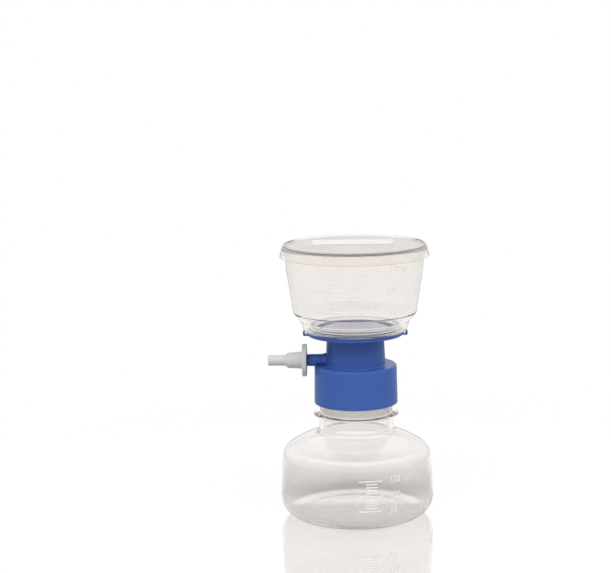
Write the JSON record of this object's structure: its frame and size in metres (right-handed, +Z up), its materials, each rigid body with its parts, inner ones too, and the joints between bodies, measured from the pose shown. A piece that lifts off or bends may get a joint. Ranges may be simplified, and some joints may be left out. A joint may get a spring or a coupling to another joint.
{
  "type": "vacuum filtration unit",
  "caption": "Clear lidded funnel on a blue screw-on neck adapter with a side vacuum arm, over a clear squat receiver bottle with a threaded neck.",
  "frame": {"origin": "on the unit's vertical axis, on the plane that the bottle stands on, 0.9 mm under the middle of its dished base", "axes": "+Z up along the unit's axis, the vacuum arm points along -X, and the funnel's graduations face -Y"},
  "size_m": [0.0978, 0.0916, 0.1635],
  "materials": {
    "clear_bottle": "clear moulded plastic, glossy",
    "clear_chamber": "clear moulded plastic, glossy",
    "clear_lid": "clear moulded plastic, glossy",
    "blue_plastic": "opaque blue moulded plastic, satin gloss",
    "grey_plastic": "opaque light grey moulded plastic",
    "seal_rubber": "pale silicone rubber",
    "membrane_sheet": "matt white microporous sheet",
    "plug_fibre": "white pressed fibre"
  },
  "bodies": {
    "bottle": {"receiver_bottle": "clear_bottle"},
    "seal": {"neck_seal": "seal_rubber"},
    "adapter": {"neck_adapter": "blue_plastic", "port_filter_plug": "plug_fibre", "membrane_filter": "membrane_sheet", "upper_chamber": "clear_chamber"},
    "lid": {"chamber_lid": "clear_lid"},
    "tubing": {"tubing_adapter": "grey_plastic"}
  },
  "joints": [
    {"name": "adapter_rise", "type": "slide", "parent": "bottle", "child": "seal", "axis": [0, 0, 1], "range_m": [0, 0.006]},
    {"name": "adapter_turn", "type": "hinge", "parent": "seal", "child": "adapter", "pos_m": [0, 0, 0.0884], "axis": [0, 0, 1], "range_deg": [0, 540]},
    {"name": "lid_lift", "type": "slide", "parent": "adapter", "child": "lid", "axis": [0, 0, 1], "range_m": [0, 0.06]},
    {"name": "tubing_adapter_pull", "type": "slide", "parent": "adapter", "child": "tubing", "axis": [-1, 0, 0], "range_m": [0, 0.02]}
  ],
  "couplings": [
    {"joint": "adapter_rise", "follows": "adapter_turn", "m_per_rad": 0.00063662}
  ]
}
